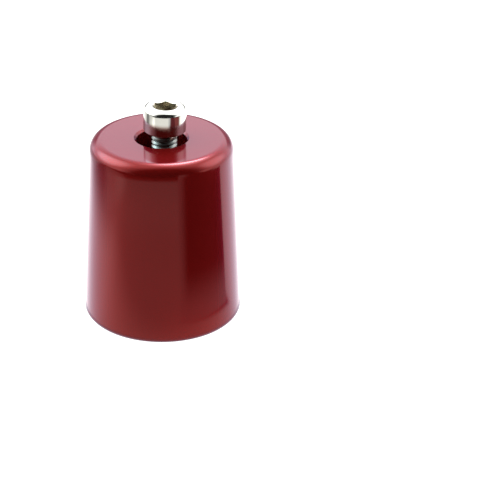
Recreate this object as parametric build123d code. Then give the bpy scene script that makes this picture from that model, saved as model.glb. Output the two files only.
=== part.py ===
from build123d import *
import math
import os

# Bar end weight for a motorbike handlebar, in millimetres.
# The axis is Z. The origin is the centre of the large end face, which meets the bar.
# The weight stands on that face, with its screw standing loose in the hole.

# Turned body, outside: a slow taper with both ends rounded over
body_length = 45.0
bar_end_d = 38.0  # where the tapered side would meet the large end face
cap_end_d = 33.5  # where the tapered side would meet the small end face
bar_end_round = 1.8
cap_end_round = 2.8

# Recess in the large end: a seat that slips over the bar, then a cone and a relief bore
bar_d = 22.2
bar_clearance = 0.5  # on the diameter
bar_seat_depth = 3.2
bar_lead_in = 0.85  # 45 degree bevel at the mouth
relief_step = 2.55  # on the radius, from the seat in to the relief bore
relief_depth = 9.3
relief_cone_angle = 45.0  # from the axis

# Socket head screw, M6
screw_d = 6.0
thread_reach = 10.0  # how far the tightened screw stands out of the large end
screw_tip_bevel = 0.6
head_d = 10.0
head_height = 6.0
head_round = 1.05
head_neck_bevel = 0.25  # 45 degrees
socket_flats = 5.0
socket_depth = 3.0
socket_point_angle = 120.0
socket_mouth_margin = 0.1  # from the corners of the hexagon out to its countersunk mouth
socket_mouth_angle = 120.0
socket_turn = 90.0  # a corner of the hexagon points along Y

# Stepped hole for the screw, from the small end
screw_clearance = 1.0  # on the diameter
head_clearance = 1.9  # on the diameter
head_recess = 2.0  # how far a seated head lies below the small end face
counterbore_lead_in = 0.5  # 45 degree bevel at the mouth

# The loose screw stands on its tip and leans along +X until it rests against the hole's upper rim
lean_share = 0.68  # share of the play in the hole that the lean takes up
lean_gap = 0.02  # left between the screw and the rim

# Sizes that follow from those above
seat_r = (bar_d + bar_clearance) / 2
relief_r = seat_r - relief_step
cone_end_depth = bar_seat_depth + relief_step / math.tan(math.radians(relief_cone_angle))
hole_r = (screw_d + screw_clearance) / 2
counterbore_r = (head_d + head_clearance) / 2
counterbore_floor = body_length - head_height - head_recess
hole_length = counterbore_floor - relief_depth
screw_r = screw_d / 2
screw_length = counterbore_floor + thread_reach  # under the head
socket_mouth_r = socket_flats / 2 / math.cos(math.radians(30)) + socket_mouth_margin
lean_angle = math.degrees(math.atan(lean_share * screw_clearance / hole_length))


def turned(outline, rounds):
    """Turn a half-section round Z: outline holds (radius, height) points, rounds the radius at a point."""
    section = make_face(Polyline(*outline, close=True))
    for corner, radius in rounds.items():
        vertex = section.vertices().sort_by_distance((*corner, 0))[0]
        section = fillet(vertex, radius)
    return revolve(Plane.XZ * section, Axis.Z)


def make_weight_body():
    """One turned piece: tapered outside, stepped recess below, clearance hole and counterbore above."""
    bar_edge = (bar_end_d / 2, 0)
    cap_edge = (cap_end_d / 2, body_length)
    outline = [
        (seat_r + bar_lead_in, 0),
        bar_edge,
        cap_edge,
        (counterbore_r + counterbore_lead_in, body_length),
        (counterbore_r, body_length - counterbore_lead_in),
        (counterbore_r, counterbore_floor),
        (hole_r, counterbore_floor),
        (hole_r, relief_depth),
        (relief_r, relief_depth),
        (relief_r, cone_end_depth),
        (seat_r, bar_seat_depth),
        (seat_r, bar_lead_in),
    ]
    return turned(outline, {bar_edge: bar_end_round, cap_edge: cap_end_round})


def pointed(radius, angle):
    """Round hole with a pointed bottom of the given angle, its mouth at the origin and its point below."""
    depth = radius / math.tan(math.radians(angle / 2))
    return Cone(0, radius, depth, align=(Align.CENTER, Align.CENTER, Align.MAX))


def make_cap_screw():
    """Screw upright, tip at the origin: bevelled tip, shank at thread size, head with a hexagon socket."""
    head_top = screw_length + head_height
    head_r = head_d / 2
    head_edge = (head_r, head_top)
    outline = [
        (0, 0),
        (screw_r - screw_tip_bevel, 0),
        (screw_r, screw_tip_bevel),
        (screw_r, screw_length - head_neck_bevel),
        (screw_r + head_neck_bevel, screw_length),
        (head_r, screw_length),
        head_edge,
        (0, head_top),
    ]
    screw = turned(outline, {head_edge: head_round})
    hexagon = RegularPolygon(socket_flats / 2, 6, major_radius=False, rotation=socket_turn)
    socket_floor = head_top - socket_depth
    socket = extrude(Plane.XY.offset(socket_floor) * hexagon, socket_depth)
    mouth = Pos(0, 0, head_top) * pointed(socket_mouth_r, socket_mouth_angle)
    point = Pos(0, 0, socket_floor) * pointed(socket_flats / 2, socket_point_angle)
    return screw - socket - mouth - point


def lean_in_hole(screw):
    """Tip the screw along +X, its lowest edge on the standing plane and its shank against the upper rim."""
    lean = math.radians(lean_angle)
    lift = (screw_r - screw_tip_bevel) * math.sin(lean)
    axis_at_rim = hole_r - screw_r / math.cos(lean) - lean_gap
    foot = axis_at_rim - (counterbore_floor - lift) * math.tan(lean)
    return Pos(foot, 0, lift) * Rot(0, lean_angle, 0) * screw


os.makedirs("parts", exist_ok=True)
export_step(make_weight_body(), "parts/weight_body.step")
export_step(lean_in_hole(make_cap_screw()), "parts/cap_screw.step")
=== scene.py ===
# %% [markdown]
# # A bar end weight, rebuilt as two numpy surfaces
#
# A bar end weight closes the end of a motorbike's handlebar and damps its shake. This one is turned from
# aluminium and anodised red. It stands on its large end, with its socket head screw loose in the hole.
#
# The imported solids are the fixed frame: they hold the sizes and places. This lesson lays finer surfaces
# over them, gives both finishes their nodes and then sets up a small white studio.

# %% Load the fixed frame
import math

import bpy
import numpy as np
from mathutils import Matrix, Vector


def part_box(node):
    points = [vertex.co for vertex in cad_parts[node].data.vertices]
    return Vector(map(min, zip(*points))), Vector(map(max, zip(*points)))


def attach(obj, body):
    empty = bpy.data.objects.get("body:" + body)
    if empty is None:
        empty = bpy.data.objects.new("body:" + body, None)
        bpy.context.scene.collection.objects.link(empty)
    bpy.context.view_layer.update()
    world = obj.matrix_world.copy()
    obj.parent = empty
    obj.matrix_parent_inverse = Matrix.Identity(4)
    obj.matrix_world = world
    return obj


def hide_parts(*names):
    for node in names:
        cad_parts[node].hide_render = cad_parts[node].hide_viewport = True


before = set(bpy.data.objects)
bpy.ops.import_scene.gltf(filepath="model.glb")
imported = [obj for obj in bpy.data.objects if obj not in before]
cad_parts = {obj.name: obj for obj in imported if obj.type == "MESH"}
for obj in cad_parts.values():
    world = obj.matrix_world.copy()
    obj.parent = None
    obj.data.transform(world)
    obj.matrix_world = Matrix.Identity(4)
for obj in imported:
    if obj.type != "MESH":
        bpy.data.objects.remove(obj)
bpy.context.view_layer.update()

body_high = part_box("weight_body")[1]
screw_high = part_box("cap_screw")[1]
MM = 0.001

# %% [markdown]
# ## Outlines with broken edges
#
# Both pieces are turned, so each starts as a half-section: a line of (radius, height) points in
# millimetres. A Bevel modifier could break the edges afterwards, but it guesses its width where bevels
# meet. Here every corner gets its own tangent arc instead, so a large round and a deburred edge come from
# one formula.

# %% Straight runs joined by tangent arcs
ARC_STEPS = 12
# places along a straight run, crowded to its ends so that flat faces stay flat when shaded smooth
RUN_MARKS = np.array([0.03, 0.2, 0.5, 0.8, 0.97])


def rounded_run(points, radii):
    """Open line through points, with a tangent arc of the given radius at each inner point.

    At a corner, the unit vectors to its neighbours enclose twice the half angle. The arc begins and ends at
    radius / tan(half angle) along them, and its centre lies at radius / sin(half angle) along their sum.
    Its points turn evenly from the first spoke to the last: at the share t of the sweep w, a spoke is
    (sin((1 - t) w) * first + sin(t w) * last) / sin(w).
    """
    points = np.asarray(points, float)
    radii = np.asarray(radii, float)[:, None]
    corner = points[1:-1]
    back = points[:-2] - corner
    ahead = points[2:] - corner
    back /= np.linalg.norm(back, axis=1, keepdims=True)
    ahead /= np.linalg.norm(ahead, axis=1, keepdims=True)
    half = np.arccos(np.clip((back * ahead).sum(1, keepdims=True), -1, 1)) / 2
    middle = (back + ahead) / np.linalg.norm(back + ahead, axis=1, keepdims=True)
    begin = corner + back * radii / np.tan(half)
    end = corner + ahead * radii / np.tan(half)
    centre = corner + middle * radii / np.sin(half)
    sweep = (np.pi - 2 * half)[:, None]
    t = np.linspace(0, 1, ARC_STEPS + 1)[None, :, None]
    first = (begin - centre)[:, None]
    last = (end - centre)[:, None]
    spokes = np.sin((1 - t) * sweep) * first + np.sin(t * sweep) * last
    arcs = centre[:, None] + spokes / np.sin(sweep)
    run_from = np.vstack([points[:1], end])
    run_to = np.vstack([begin, points[-1:]])
    runs = run_from[:, None] + (run_to - run_from)[:, None] * RUN_MARKS[None, :, None]
    inner = np.concatenate([runs[:-1], arcs], axis=1).reshape(-1, 2)
    return np.vstack([points[:1], inner, runs[-1], points[-1:]])


print("points per corner and run:", ARC_STEPS + 1 + len(RUN_MARKS))

# %% [markdown]
# ## From grids to meshes
#
# A turned surface is a grid: one row per point of the outline, one column per angle. Rows that shrink to
# a point on the axis, and rows that come back to where they began, leave points in the same place.
# Welding those points closes poles and seams in one step, with whole arrays and no search for neighbours.

# %% Turn, weld and store
WELD = 1e-6  # mm


def turn(outline, columns):
    """Grid of points: x = radius * cos(angle), y = radius * sin(angle), z = height, angle in equal steps."""
    angle = np.linspace(0, 2 * np.pi, columns, endpoint=False)
    radius, height = outline[:, :1], outline[:, 1:]
    return np.stack([radius * np.cos(angle), radius * np.sin(angle), height + 0 * angle], axis=-1)


def grid_quads(rows, columns, seam_shift=0):
    """Quads of a grid closed round its columns; past the last column a row goes on as row + seam_shift."""
    row, column = np.meshgrid(np.arange(rows - 1 - seam_shift), np.arange(columns), indexing="ij")
    beside = (column + 1) % columns
    over = row + seam_shift * (column + 1 == columns)
    corners = [
        row * columns + column,
        over * columns + beside,
        (over + 1) * columns + beside,
        (row + 1) * columns + column,
    ]
    return np.stack(corners, axis=-1).reshape(-1, 4)


def weld(points, quads):
    """Merge points closer than WELD.

    A quad that loses one corner becomes a triangle, and one that loses more is dropped.
    """
    cells = np.round(points / WELD).astype(np.int64)
    _, kept, place = np.unique(cells, axis=0, return_index=True, return_inverse=True)
    quads = place.reshape(-1)[quads]
    merged = quads == np.roll(quads, -1, axis=1)
    lost = merged.sum(1)
    folded = (quads[:, 0] == quads[:, 2]) | (quads[:, 1] == quads[:, 3])
    whole = quads[(lost == 0) & ~folded]
    cut = (lost == 1) & ~folded
    others = (merged[cut].argmax(1)[:, None] + np.arange(1, 4)) % 4
    return kept, whole.tolist() + np.take_along_axis(quads[cut], others, axis=1).tolist()


def store(name, points, quads, sharp_angle, **values):
    """Object at the origin with the welded mesh in metres.

    Each named value becomes a float attribute of the mesh's points.
    """
    kept, faces = weld(points, quads)
    mesh = bpy.data.meshes.new(name)
    mesh.from_pydata((points[kept] * MM).tolist(), [], faces)
    mesh.shade_smooth()
    mesh.set_sharp_from_angle(angle=sharp_angle)
    for label, value in values.items():
        layer = mesh.attributes.new(label, "FLOAT", "POINT")
        layer.data.foreach_set("value", value[kept].astype(np.float32))
    piece = bpy.data.objects.new(name, mesh)
    bpy.context.collection.objects.link(piece)
    print(name, "has", len(mesh.vertices), "points and", len(faces), "faces")
    return piece


print("points closer than", WELD, "mm are welded")

# %% [markdown]
# ## The turned body
#
# The real body is turned from one bar: a slow taper outside, a recess below for the handlebar's end, and
# a stepped hole above for the screw. Its half-section is one closed line, walked so that the outside goes
# upwards, which makes the faces point outwards. It starts and ends in the middle of the large end face,
# where welding closes it.

# %% Half-section of the body
body_length = body_high.z / MM
bar_end_d, cap_end_d = 38.0, 33.5  # where the tapered side would meet the end faces
bar_end_round, cap_end_round = 1.8, 2.8
bar_seat_r, bar_seat_depth, bar_lead_in = 11.35, 3.2, 0.85
relief_r, relief_depth = 8.8, 9.3
hole_r = 3.5
counterbore_r, counterbore_depth, counterbore_lead_in = 5.95, 8.0, 0.5
deburr = 0.06  # what a stroke of a file leaves on an edge
corner_r = 0.15  # what the tool's nose leaves in an inner corner

cone_end_depth = bar_seat_depth + bar_seat_r - relief_r
counterbore_floor = body_length - counterbore_depth
seam = (15.0, 0.0)  # on the large end face
body_points = [
    seam,
    (bar_end_d / 2, 0.0),
    (cap_end_d / 2, body_length),
    (counterbore_r + counterbore_lead_in, body_length),
    (counterbore_r, body_length - counterbore_lead_in),
    (counterbore_r, counterbore_floor),
    (hole_r, counterbore_floor),
    (hole_r, relief_depth),
    (relief_r, relief_depth),
    (relief_r, cone_end_depth),
    (bar_seat_r, bar_seat_depth),
    (bar_seat_r, bar_lead_in),
    (bar_seat_r + bar_lead_in, 0.0),
    seam,
]
body_radii = [
    bar_end_round, cap_end_round, deburr, deburr, corner_r, deburr,
    deburr, corner_r, deburr, deburr, deburr, deburr,
]
body_outline = rounded_run(body_points, body_radii)
print("half-section:", len(body_outline), "points; widest radius", round(body_outline[:, 0].max(), 3), "mm")

# %% Turn the body
BODY_COLUMNS = 240
SMOOTH_UNDER = math.radians(35)
body_grid = turn(body_outline, BODY_COLUMNS)
steps = np.linalg.norm(np.diff(body_outline, axis=0, prepend=body_outline[:1]), axis=1)
feed_path = np.repeat(np.cumsum(steps), BODY_COLUMNS)  # mm the cutting tool has travelled along the outline
weight = store(
    "turned_weight",
    body_grid.reshape(-1, 3),
    grid_quads(len(body_outline), BODY_COLUMNS),
    SMOOTH_UNDER,
    feed_path=feed_path,
)

# %% [markdown]
# ## The screw's thread
#
# A thread could be an array of rings or a Screw modifier, but rings have no lead and the modifier leaves
# open ends. Here each row of the grid is a helix: it climbs one pitch per turn, so past the last column
# it goes on as the row one pitch higher. Heights are then clamped to the thread's ends, where the rows
# collapse into one ring and weld. The tip's bevel cuts the first turn, and near the head the groove runs
# out to the full diameter.

# %% Helical rows
SCREW_COLUMNS = 120
pitch = 1.0
screw_r = 3.0
thread_reach = 10.0  # how far the tightened screw stands out of the large end
screw_length = counterbore_floor + thread_reach
tip_bevel = 0.6
tip_r = screw_r - tip_bevel
crest_r = 2.97
root_r = 2.43
runout = 1.2
neck_round = 0.25
thread_end = screw_length - neck_round
thread_start = 0.3  # share of a turn
spare_turns = 2  # one past each end, clamped away
# one pitch of the profile: flat crest, 60 degree flanks, rounded root
phases = np.array([0.00, 0.11, 0.42, 0.47, 0.555, 0.64, 0.69])
depths = np.array([0.00, 0.00, 0.92, 1.00, 1.00, 1.00, 0.92])


def thread_grid():
    """Row m and column c lie at height pitch * (turn + phase + c / columns), with the profile's radius.

    The radius is no more than the tip's bevel allows, tip + height, and no less than the run-out, which
    eases from the root to the full radius.
    """
    turns = math.ceil(thread_end / pitch) + spare_turns
    climb = (np.arange(turns)[:, None] - 1 + thread_start + phases).reshape(-1, 1)
    column = np.arange(SCREW_COLUMNS) / SCREW_COLUMNS
    height = np.clip(pitch * (climb + column), 0, thread_end)
    groove = np.tile(crest_r - depths * (crest_r - root_r), turns)[:, None]
    ease = np.clip((height - thread_end + runout) / runout, 0, 1)
    plain = root_r + (screw_r - root_r) * ease * ease * (3 - 2 * ease)
    radius = np.minimum(np.maximum(groove, plain), tip_r + height)
    angle = 2 * np.pi * column
    return np.stack([radius * np.cos(angle), radius * np.sin(angle), height], axis=-1)


thread = thread_grid()
print("thread:", thread.shape[0], "helical rows,", round(thread_end / pitch), "turns")

# %% [markdown]
# ## The screw's head
#
# The head is turned with a rounded top edge, countersunk, and then a hexagon is pressed into it. In polar
# form a hexagon is half its flats over the cosine of the angle to the nearest flat, so the socket's rows
# are grid rows like the rest: only their radius changes with the angle. The countersink runs round, so it
# meets the hexagon's flats deeper than its corners. A drilled point closes the socket.

# %% Head and hexagon socket
head_d, head_height, head_round = 10.0, 6.0, 1.05
under_head_round = 0.2
socket_flats, socket_depth, socket_point_angle = 5.0, 3.0, 120.0
socket_mouth_margin, socket_mouth_angle = 0.1, 120.0
edge_break = 0.05
mouth_share = 0.2  # how far a first row lies from the socket's mouth towards the hexagon
floor_edge_r = 0.97 * socket_flats / 2
half_way_r = 0.48 * socket_flats / 2
tip_middle_r = 1.2  # an extra ring on the flat tip

head_top = screw_length + head_height
socket_mouth_r = socket_flats / 2 / math.cos(math.radians(30)) + socket_mouth_margin
head_points = [
    (screw_r, thread_end),
    (screw_r, screw_length),
    (head_d / 2, screw_length),
    (head_d / 2, head_top),
    (socket_mouth_r + edge_break, head_top),
]
head_outline = rounded_run(head_points, [neck_round, under_head_round, head_round])


def socket_grid():
    """Rows from the head's top down into the socket.

    The countersink sinks by (mouth radius - radius) / tan(half its angle), from its round mouth in to the
    hexagon. The walls keep the hexagon's radius down to the socket's floor. A cone to the axis closes it.
    """
    angle = np.linspace(0, 2 * np.pi, SCREW_COLUMNS, endpoint=False)
    sixth = np.pi / 3
    hexagon = socket_flats / 2 / np.cos((angle + sixth / 2) % sixth - sixth / 2)
    slope = 1 / math.tan(math.radians(socket_mouth_angle / 2))
    sink = (socket_mouth_r - hexagon) * slope
    near_mouth = (1 - mouth_share) * (socket_mouth_r - edge_break) + mouth_share * hexagon
    floor = head_top - socket_depth
    point_depth = socket_flats / 2 / math.tan(math.radians(socket_point_angle / 2))
    level = 0 * angle
    rows = [
        (socket_mouth_r - edge_break + level, head_top - edge_break * slope + level),
        (near_mouth, head_top - (socket_mouth_r - near_mouth) * slope),
        (hexagon, head_top - sink),
        (hexagon, floor + edge_break + level),
        (hexagon, floor + level),
        (floor_edge_r + level, floor + level),
        (half_way_r + level, floor - point_depth / 2 + level),
        (level, floor - point_depth + level),
    ]
    radius, height = (np.stack(values) for values in zip(*rows))
    return np.stack([radius * np.cos(angle), radius * np.sin(angle), height], axis=-1)


head = turn(head_outline, SCREW_COLUMNS)
socket = socket_grid()
tip = turn(np.array([(0.0, 0.0), (tip_middle_r, 0.0), (tip_r, 0.0)]), SCREW_COLUMNS)
print("head:", len(head_outline), "rows, socket:", len(socket), "rows, top at", round(head_top, 2), "mm")

# %% [markdown]
# ## The screw leans
#
# Standing loose, the screw leans along +X until its shank rests against the upper rim of the hole.
# Turning the object would do, but a piece keeps its place in its mesh, so the lean is a rotation of the
# points themselves.

# %% Lean in the hole
screw_play = 2 * (hole_r - screw_r)
lean_share = 0.68  # share of the play that the lean takes up
lean_gap = 0.02
lean = math.atan(lean_share * screw_play / (counterbore_floor - relief_depth))
lift = tip_r * math.sin(lean)
axis_at_rim = hole_r - screw_r / math.cos(lean) - lean_gap
foot = axis_at_rim - (counterbore_floor - lift) * math.tan(lean)


def lean_over(points):
    """Turn about Y: x' = x cos + z sin, z' = z cos - x sin. Then move to the foot's place."""
    x, y, z = points.T
    return np.stack([
        x * math.cos(lean) + z * math.sin(lean) + foot,
        y,
        z * math.cos(lean) - x * math.sin(lean) + lift,
    ], axis=1)


print("lean", round(math.degrees(lean), 2), "degrees, foot at x =", round(foot, 3), "mm")

# %% Join the screw's grids
parts = [tip, thread, np.concatenate([head, socket])]
shifts = [0, len(phases), 0]
starts = np.cumsum([0] + [part.shape[0] * SCREW_COLUMNS for part in parts])
screw_quads = np.vstack([
    grid_quads(part.shape[0], SCREW_COLUMNS, shift) + start
    for part, shift, start in zip(parts, shifts, starts)
])
screw_points = np.vstack([part.reshape(-1, 3) for part in parts])
leaning_points = lean_over(screw_points)
below_mouth = len(socket) - 1  # rows of the socket under its mouth
in_socket = np.zeros(starts[-1])
in_socket[-below_mouth * SCREW_COLUMNS:] = 1.0
on_thread = (screw_points[:, 2] < thread_end - runout).astype(float)
up_head = np.clip((screw_points[:, 2] - screw_length) / head_height, 0, 1)
screw = store(
    "socket_head_screw",
    leaning_points,
    screw_quads,
    SMOOTH_UNDER,
    in_socket=in_socket,
    on_thread=on_thread,
    up_head=up_head,
)
print("top at", round(leaning_points[:, 2].max(), 3), "mm, of the solid", round(screw_high.z / MM, 3), "mm")

# %% [markdown]
# ## Red anodised finish
#
# Anodising grows a clear layer on the metal, and the dye sits inside it. Light meets three things there:
# the layer's surface mirrors a little of it in white, the dye scatters some in red, and the metal below
# mirrors the rest in red. A plain metal shader would be black wherever the studio is dark, and a plain
# plastic would lose the red mirror image. So the shader is part metal and part scattering body, under a
# clear coat. Fine turning lines follow the tool's path, so they are noise along the stored feed path.

# %% Helpers for finishes


def new_finish(name):
    """Material with a Principled shader; returns the material, its node tree and the shader."""
    material = bpy.data.materials.new(name)
    material.use_nodes = True
    tree = material.node_tree
    return material, tree, tree.nodes["Principled BSDF"]


def put(tree, target, value):
    """Link a socket into the target, or set the target to a plain value."""
    if isinstance(value, bpy.types.NodeSocket):
        tree.links.new(value, target)
    else:
        target.default_value = value


def add_node(tree, kind, settings=None, **inputs):
    """Node with its settings and named inputs, each a socket or a plain value."""
    node = tree.nodes.new(kind)
    for label, value in (settings or {}).items():
        setattr(node, label, value)
    for label, value in inputs.items():
        put(tree, node.inputs[label.replace("_", " ")], value)
    return node


def stored(tree, name):
    """Socket with the attribute that a piece stores under this name."""
    return add_node(tree, "ShaderNodeAttribute", {"attribute_name": name}).outputs["Fac"]


def mix_colours(tree, factor, first, second, blend="MIX"):
    """Socket that blends two colours, each a socket or red, green, blue and 1."""
    node = add_node(
        tree, "ShaderNodeMix", {"data_type": "RGBA", "blend_type": blend},
        Factor=factor, A=first, B=second,
    )
    return node.outputs["Result"]


# %% Red anodised aluminium
DEEP_RED_DYE = (0.104, 0.0030, 0.0026, 1.0)
LIGHT_RED_DYE = (0.112, 0.0036, 0.0032, 1.0)
EDGE_TINT = (0.52, 0.54, 0.82, 1.0)  # of the metal's mirror image at a glancing angle
MIRROR_SHARE = 0.56  # of the metal, against the scattering dye
LAYER_IOR, LAYER_ROUGHNESS = 1.23, 0.08
GLOSS_LOW, GLOSS_HIGH = 0.22, 0.28  # roughness across the turning lines
LINES_PER_MM, LINE_DEPTH, LINE_STRENGTH = 4.0, 2e-5, 0.07  # the depth is in metres
DYE_CLOUDS = 90.0  # per metre

red, tree, shader = new_finish("red_anodised_aluminium")
shader.inputs["Metallic"].default_value = MIRROR_SHARE
shader.inputs["Specular IOR Level"].default_value = 0.0
shader.inputs["Specular Tint"].default_value = EDGE_TINT
shader.inputs["Coat Weight"].default_value = 1.0
shader.inputs["Coat IOR"].default_value = LAYER_IOR
shader.inputs["Coat Roughness"].default_value = LAYER_ROUGHNESS

place = add_node(tree, "ShaderNodeTexCoord").outputs["Object"]
dye = add_node(tree, "ShaderNodeTexNoise", Vector=place, Scale=DYE_CLOUDS, Detail=3.0).outputs["Fac"]
tree.links.new(mix_colours(tree, dye, DEEP_RED_DYE, LIGHT_RED_DYE), shader.inputs["Base Color"])

lines = add_node(
    tree, "ShaderNodeTexNoise", {"noise_dimensions": "1D"},
    W=stored(tree, "feed_path"), Scale=LINES_PER_MM, Detail=3.0,
).outputs["Fac"]
gloss = add_node(tree, "ShaderNodeMapRange", Value=lines, To_Min=GLOSS_LOW, To_Max=GLOSS_HIGH)
tree.links.new(gloss.outputs["Result"], shader.inputs["Roughness"])
groove = add_node(tree, "ShaderNodeBump", Height=lines, Strength=LINE_STRENGTH, Distance=LINE_DEPTH)
tree.links.new(groove.outputs["Normal"], shader.inputs["Normal"])
print("finish:", red.name, "with", len(tree.nodes), "nodes")

# %% [markdown]
# ## Bright steel
#
# The screw is polished steel, and its head mirrors the studio. Low on the head, its colour is painted
# darker as shade, and a rougher finish softens its image. The rolled thread is rougher, and its colour is
# painted darker as the shade inside the hole. The pressed socket is rougher, and its colour is painted
# darker as the shade in its hollow. A material for each zone would leave hard borders between them.
# So one material has all of them, and three stored attributes tell the zones apart.

# %% Helpers for zones


def ramp(tree, value, start, stop, low=0.0, high=1.0):
    """Socket that eases from low, where value is start, to high, where value is stop."""
    node = add_node(
        tree, "ShaderNodeMapRange", {"interpolation_type": "SMOOTHSTEP"},
        Value=value, From_Min=start, From_Max=stop, To_Min=low, To_Max=high,
    )
    return node.outputs["Result"]


def combine(tree, operation, *values):
    """Socket with the result of a math operation on sockets or numbers."""
    node = add_node(tree, "ShaderNodeMath", {"operation": operation})
    for target, value in zip(node.inputs, values):
        put(tree, target, value)
    return node.outputs["Value"]


# %% Polished steel
BARE_STEEL = (0.53, 0.53, 0.50, 1.0)
# painted shade: the steel's colour low on the head
LOW_HEAD_PAINTED_SHADE = (0.265, 0.180, 0.156, 1.0)
# painted shade: the socket's colour, darker as the shade in its hollow
SOCKET_PAINTED_SHADE = (0.38, 0.34, 0.28, 1.0)
# painted shade: the thread's colour, darker as the shade inside the hole
THREAD_PAINTED_SHADE = (0.17, 0.165, 0.155, 1.0)
POLISH_LOW, POLISH_HIGH = 0.03, 0.09  # roughness that the polishing wheel leaves
ROLLED, PRESSED, LOW_HEAD_ROUGHNESS = 0.22, 0.12, 0.10  # roughness added by rolling, by pressing and low on the head
SHADE_AND_ROUGH_TOP = 0.56  # share of the head's height that the painted shade and the added roughness reach
HAZE_GRAINS = 900.0  # per metre

steel, tree, shader = new_finish("bright_steel")
shader.inputs["Metallic"].default_value = 1.0
socket_zone = stored(tree, "in_socket")
thread_zone = stored(tree, "on_thread")
height_on_head = stored(tree, "up_head")

# painted shade: low on the head the steel's colour is darker
colour = mix_colours(tree, ramp(tree, height_on_head, 0.34, SHADE_AND_ROUGH_TOP), LOW_HEAD_PAINTED_SHADE, BARE_STEEL)
# painted shade: the socket's colour is darker, as the shade in its hollow
colour = mix_colours(tree, socket_zone, colour, SOCKET_PAINTED_SHADE)
# painted shade: the thread's colour is darker, as the shade inside the hole
colour = mix_colours(tree, thread_zone, colour, THREAD_PAINTED_SHADE)
tree.links.new(colour, shader.inputs["Base Color"])

place = add_node(tree, "ShaderNodeTexCoord").outputs["Object"]
haze = add_node(tree, "ShaderNodeTexNoise", Vector=place, Scale=HAZE_GRAINS, Detail=4.0).outputs["Fac"]
polish = add_node(tree, "ShaderNodeMapRange", Value=haze, To_Min=POLISH_LOW, To_Max=POLISH_HIGH)
rough = combine(tree, "MULTIPLY_ADD", thread_zone, ROLLED, polish.outputs["Result"])
rough = combine(tree, "MULTIPLY_ADD", socket_zone, PRESSED, rough)
rough = combine(tree, "ADD", rough, ramp(tree, height_on_head, SHADE_AND_ROUGH_TOP, 0.30, 0.0, LOW_HEAD_ROUGHNESS))
tree.links.new(rough, shader.inputs["Roughness"])
print("finish:", steel.name, "with", len(tree.nodes), "nodes")

# %% [markdown]
# ## Put the pieces in the frame
#
# Each piece stands for its solid, which stays in the physics model for collision. A parent could carry a
# piece as well, but the frame has to know which body it belongs to. Nothing on this part moves by a
# joint, so both ride on the one body.

# %% Ride and replace
for piece, node, finish, slot in [
    (weight, "weight_body", red, "red_anodised"),
    (screw, "cap_screw", steel, "bright_steel"),
]:
    piece.data.materials.append(finish)
    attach(piece, "root")
    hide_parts(node)
    print(piece.name, "replaces", node)

# %% [markdown]
# ## The light table
#
# The part stands on a plain white light table. Lamps over a grey floor would leave a hard shadow. A floor
# that glows by itself keeps the shadow pale, and lights the part's side from below. It glows more just
# off the foot, in front on the right, where it lifts the lower side.

# %% Helpers for places


def ramp_degrees(tree, angle, start, stop):
    """Like ramp, from 0 to 1, for an angle whose start and stop are in degrees."""
    return ramp(tree, angle, math.radians(start), math.radians(stop))


def product(tree, first, *others):
    """Socket with the product of all the sockets."""
    for other in others:
        first = combine(tree, "MULTIPLY", first, other)
    return first


def vector_math(tree, operation, *values, result="Value"):
    """Socket with the result of a vector operation on sockets or triples of numbers."""
    node = add_node(tree, "ShaderNodeVectorMath", {"operation": operation})
    for target, value in zip(node.inputs, values):
        put(tree, target, value)
    return node.outputs[result]


def object_axes(tree):
    """Sockets with the object's own coordinates: the whole vector, then x, y and z, in metres."""
    place = add_node(tree, "ShaderNodeTexCoord").outputs["Object"]
    axes = add_node(tree, "ShaderNodeSeparateXYZ", Vector=place)
    return place, axes.outputs["X"], axes.outputs["Y"], axes.outputs["Z"]


# %% Light table
FLOOR_GAP = 0.00005
FLOOR_HALF = 2.0
TABLE_BASE = (0.12, 0.12, 0.12, 1.0)
TABLE_GLOW, FOOT_GLOW = 1.3, 4.6  # all over, and on top of it just off the foot

floor_mesh = bpy.data.meshes.new("light_table")
corners = np.array([(-1, -1, 0), (1, -1, 0), (1, 1, 0), (-1, 1, 0)], float) * FLOOR_HALF
corners[:, 2] = -FLOOR_GAP
floor_mesh.from_pydata(corners.tolist(), [], [(0, 1, 2, 3)])
light_table = bpy.data.objects.new("light_table", floor_mesh)
bpy.context.collection.objects.link(light_table)

table_finish, tree, shader = new_finish("white_light_table")
shader.inputs["Base Color"].default_value = TABLE_BASE
shader.inputs["Roughness"].default_value = 1.0
shader.inputs["Specular IOR Level"].default_value = 0.0
shader.inputs["Emission Color"].default_value = (1.0, 1.0, 1.0, 1.0)
place, x, y, _ = object_axes(tree)
distance = vector_math(tree, "LENGTH", place)
turned_by = combine(tree, "ARCTAN2", y, x)
at_foot = product(
    tree,
    ramp(tree, distance, 0.021, 0.023),
    ramp(tree, distance, 0.034, 0.027),
    ramp_degrees(tree, turned_by, -98, -74),
    ramp_degrees(tree, turned_by, -20, -50),
)
glow = combine(tree, "MULTIPLY_ADD", at_foot, FOOT_GLOW, TABLE_GLOW)
tree.links.new(glow, shader.inputs["Emission Strength"])
light_table.data.materials.append(table_finish)
print("light table", 2 * FLOOR_HALF, "m square")

# %% [markdown]
# ## The light tent
#
# Cloth closes the studio at the back and the top, and the camera's side is left dark. The border between
# them gives the rounded shoulder its dark band. Cloth meshes and area lamps could do this, but only the
# direction that light comes from matters here. So the world paints cloth and lamps by direction.

# %% Cloth
OPENING = (0.03, 0.03, 0.03, 1.0)
CLOTH = (3.4, 3.4, 3.4, 1.0)
LOW_BACK_LOSS = 0.85  # share of its light that the cloth loses low down at the back

world = bpy.data.worlds.new("light_tent")
bpy.context.scene.world = world
world.use_nodes = True
sky = world.node_tree
direction = add_node(sky, "ShaderNodeTexCoord").outputs["Generated"]


def towards(way):
    """Socket with the looked-at direction's part along way: the cosine between them times way's length."""
    return vector_math(sky, "DOT_PRODUCT", direction, way)


# y + the larger of -0.6 x and 0.25 x tells how far a direction is from the middle of the dark opening
sideways = combine(sky, "MAXIMUM", towards((-0.6, 0.0, 0.0)), towards((0.25, 0.0, 0.0)))
wall = combine(sky, "ADD", sideways, towards((0.0, 1.0, 0.05)))
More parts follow.
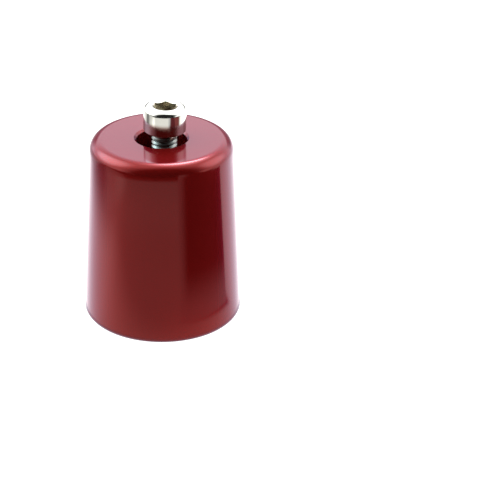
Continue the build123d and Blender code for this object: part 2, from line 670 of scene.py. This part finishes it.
# low down at the back, the cloth is in the shade of the table's edge
low_back = product(
    sky,
    ramp(sky, towards((0.0, 1.0, 0.0)), 0.70, 0.90),
    ramp(sky, towards((0.0, 0.0, 1.0)), 0.385, 0.30),
)
shaded = combine(sky, "MULTIPLY_ADD", low_back, -LOW_BACK_LOSS, 1.0)
lit = product(sky, ramp(sky, wall, -0.40, 0.25), shaded)
light = mix_colours(sky, lit, OPENING, CLOTH)
print("cloth:", len(sky.nodes), "nodes")

# %% Soft lamps behind the cloth
BLUE_SHARE = 1.1  # a lamp's strength is its green; its red and blue are shares of that
# direction, degrees to the core's edge and to the rim, strength, share of red
LAMPS = [
    ((-0.77, 0.19, 0.61), 2, 33, 10.0, 0.60),  # left
    ((0.88, 0.15, 0.45), 2, 30, 4.5, 0.72),  # right
    ((0.12, 0.545, 0.83), 1, 13.5, 26.0, 0.72),  # above the back
    ((0.17, 0.42, 0.89), 2, 24, 6.0, 0.72),  # its halo
]


def glow_through(light, way, core, rim, strength, red_share):
    """Add a round lamp to the light: full within core degrees of its direction, nothing past rim degrees."""
    facing = towards(Vector(way).normalized())
    spot = ramp(sky, facing, math.cos(math.radians(rim)), math.cos(math.radians(core)))
    lamp_light = (red_share * strength, strength, BLUE_SHARE * strength, 1.0)
    return mix_colours(sky, spot, light, lamp_light, blend="ADD")


for lamp in LAMPS:
    light = glow_through(light, *lamp)
sky.links.new(light, sky.nodes["Background"].inputs["Color"])
print("light tent:", len(LAMPS), "lamps,", len(sky.nodes), "nodes")

# %% [markdown]
# ## Cards for the reflections
#
# A glossy part shows what lies around it, and photographers place cards for that. One card lies on the
# table and carries its uneven light. One in deep red stands on the right and paints a dark red reflection
# on that side. Each could be a lit object with a texture, but then it would show in the picture and light
# the table. So the cards give off their own light, and only reflections see them.

# %% Helpers for cards


def strip_card(name, one_edge, other_edge, finish):
    """Card stretched between two lines of points in millimetres. Only reflections see it."""
    count = len(one_edge)
    step = np.arange(count - 1)
    quads = np.stack([step, step + 1, step + 1 + count, step + count], axis=1)
    mesh = bpy.data.meshes.new(name)
    mesh.from_pydata((np.vstack([one_edge, other_edge]) * MM).tolist(), [], quads.tolist())
    card = bpy.data.objects.new(name, mesh)
    bpy.context.collection.objects.link(card)
    card.data.materials.append(finish)
    card.visible_camera = False
    card.visible_diffuse = False
    card.visible_shadow = False
    print(name, "has", len(quads), "faces")


def arc(radius, degrees, height):
    """Points on a circle round the axis at the given angles, with one height or one for each angle."""
    angle = np.radians(degrees)
    return np.column_stack([radius * np.cos(angle), radius * np.sin(angle), height + 0 * angle])


def card_finish(name):
    """Black card that only shows the light it gives off; returns it with its tree and shader."""
    finish, tree, shader = new_finish(name)
    shader.inputs["Base Color"].default_value = (0.0, 0.0, 0.0, 1.0)
    shader.inputs["Specular IOR Level"].default_value = 0.0
    shader.inputs["Emission Strength"].default_value = 1.0
    return finish, tree, shader


# %% Glow of the mirrored table
FRONT_GLOW, FAR_RIGHT_GLOW, RIM_GAIN = 1.18, 2.6, 0.22
LEFT_GLOW, BACK_GLOW, FAR_BACK_GLOW = 0.35, 2.8, 1.5
BORDER_SLANT = -0.25
OVAL = (1.12, 1.0, 0.0)  # stretches x, so that equal reach is an oval

mirrored_table, tree, shader = card_finish("mirrored_table")
place, x, y, _ = object_axes(tree)
reach = vector_math(tree, "LENGTH", vector_math(tree, "MULTIPLY", place, OVAL, result="Vector"))
# in front it is even, a little brighter towards its rim and much brighter far out on the right
front_field = combine(
    tree, "ADD",
    ramp(tree, x, 0.120, 0.250, FRONT_GLOW, FAR_RIGHT_GLOW),
    ramp(tree, reach, 0.080, 0.108, 0.0, RIM_GAIN),
)
# at the back it is bright, and dims to the left
back_field = combine(
    tree, "MAXIMUM",
    ramp(tree, x, -0.115, -0.058, LEFT_GLOW, BACK_GLOW),
    ramp(tree, y, 0.020, 0.064, 0.0, FAR_BACK_GLOW),
)
slanting = combine(tree, "MULTIPLY_ADD", x, BORDER_SLANT, y)
field = add_node(
    tree, "ShaderNodeMix", {"data_type": "FLOAT"},
    Factor=ramp(tree, slanting, -0.036, 0.0), A=front_field, B=back_field,
).outputs["Result"]
print("glow of the mirrored table:", len(tree.nodes), "nodes")

# %% Ends and red patch of the mirrored table
TABLE_WHITE = (1.0, 0.985, 0.94, 1.0)
TABLE_RED = (0.25, 0.06, 0.058, 1.0)
PAST_END = 0.02  # share of the glow that is left past the table's end
CARD_STEPS = 65
CARD_LIFT = 0.1  # mm over the table
TABLE_FROM, TABLE_TO = 21, 1900  # mm from the axis

# it ends in front on an oval, but not at the back or far out on the right
turned_by = combine(tree, "ARCTAN2", y, x)
far_right = product(tree, ramp(tree, x, 0.130, 0.300), ramp_degrees(tree, turned_by, -44, -30))
front_rim = ramp(tree, reach, 0.150, 0.134, PAST_END, 1.0)
front_end = combine(tree, "MAXIMUM", front_rim, ramp(tree, y, -0.030, 0.0))
front_end = combine(tree, "MAXIMUM", front_end, far_right)
# a pool of light on the left
pool = product(
    tree,
    ramp(tree, x, -0.084, -0.104),
    ramp(tree, y, 0.012, -0.026),
    ramp(tree, y, -0.095, -0.065),
)
glow = combine(tree, "MULTIPLY_ADD", field, front_end, pool)
tree.links.new(glow, shader.inputs["Emission Strength"])
# on the right, the deep red card's painted reflection goes on as a red patch of the table
patch = product(
    tree,
    ramp_degrees(tree, turned_by, -66, -57),
    ramp(tree, x, 0.135, 0.120),
    ramp_degrees(tree, turned_by, -3, -10),
    ramp(tree, reach, 0.0290, 0.0335),
)
tree.links.new(mix_colours(tree, patch, TABLE_WHITE, TABLE_RED), shader.inputs["Emission Color"])
all_round = np.linspace(0, 360, CARD_STEPS)
strip_card(
    "table_card",
    arc(TABLE_FROM, all_round, CARD_LIFT),
    arc(TABLE_TO, all_round, CARD_LIFT),
    mirrored_table,
)

# %% Deep red card on the right
CARD_WHITE = (0.98, 0.98, 0.98, 1.0)
CARD_RED = (0.18, 0.03, 0.035, 1.0)
CARD_RADIUS, CARD_HEIGHT, CARD_DROP = 30, 43.0, 6.0  # mm
CARD_START, CARD_STOP = -69, -10  # degrees round
DROP_START, DROP_WIDTH = -48, 20  # degrees round

# its red fades out to white at the left edge and at the foot, and the left edge moves on near the top
deep_red, tree, shader = card_finish("deep_red_card")
_, x, y, z = object_axes(tree)
further = ramp(tree, z, 0.0375, 0.0395, 0.0, 0.07)
turned_by = combine(tree, "SUBTRACT", combine(tree, "ARCTAN2", y, x), further)
inside = product(tree, ramp_degrees(tree, turned_by, CARD_START, -59), ramp(tree, z, 0.002, 0.014))
tree.links.new(mix_colours(tree, inside, CARD_WHITE, CARD_RED), shader.inputs["Emission Color"])
card_turn = np.linspace(CARD_START, CARD_STOP, CARD_STEPS)
fall = np.clip((card_turn - DROP_START) / DROP_WIDTH, 0, 1)
card_top = CARD_HEIGHT - CARD_DROP * fall * fall * (3 - 2 * fall)
strip_card(
    "right_card",
    arc(CARD_RADIUS, card_turn, CARD_LIFT),
    arc(CARD_RADIUS, card_turn, card_top),
    deep_red,
)

# %% [markdown]
# ## The camera
#
# The view could be set by eye, but then the ends' ovals come out too flat or too round. It was found by
# fitting the outlines of the body, so the picture has the same perspective: from about 0.46 m away with a
# long lens, looking down by 27.5 degrees, with the part to the left of the middle.

# %% Camera
CAMERA_PLACE = (0.021032, -0.406134, 0.227084)
LENS, SENSOR = 137.24, 36.0  # mm
LOOK_DOWN = math.radians(27.49)
ROLL = 0.016  # radians

camera_data = bpy.data.cameras.new("camera")
camera_data.sensor_width = SENSOR
camera_data.lens = LENS
camera_data.clip_start = 0.01
camera_data.clip_end = 20.0
camera = bpy.data.objects.new("camera", camera_data)
bpy.context.collection.objects.link(camera)
camera.matrix_world = (
    Matrix.Translation(CAMERA_PLACE)
    @ Matrix.Rotation(math.radians(90) - LOOK_DOWN, 4, "X")
    @ Matrix.Rotation(ROLL, 4, "Z")
)
bpy.context.scene.camera = camera
bpy.context.scene.view_settings.view_transform = "Standard"
print("camera at", [round(v, 3) for v in camera.location], "lens", camera_data.lens)
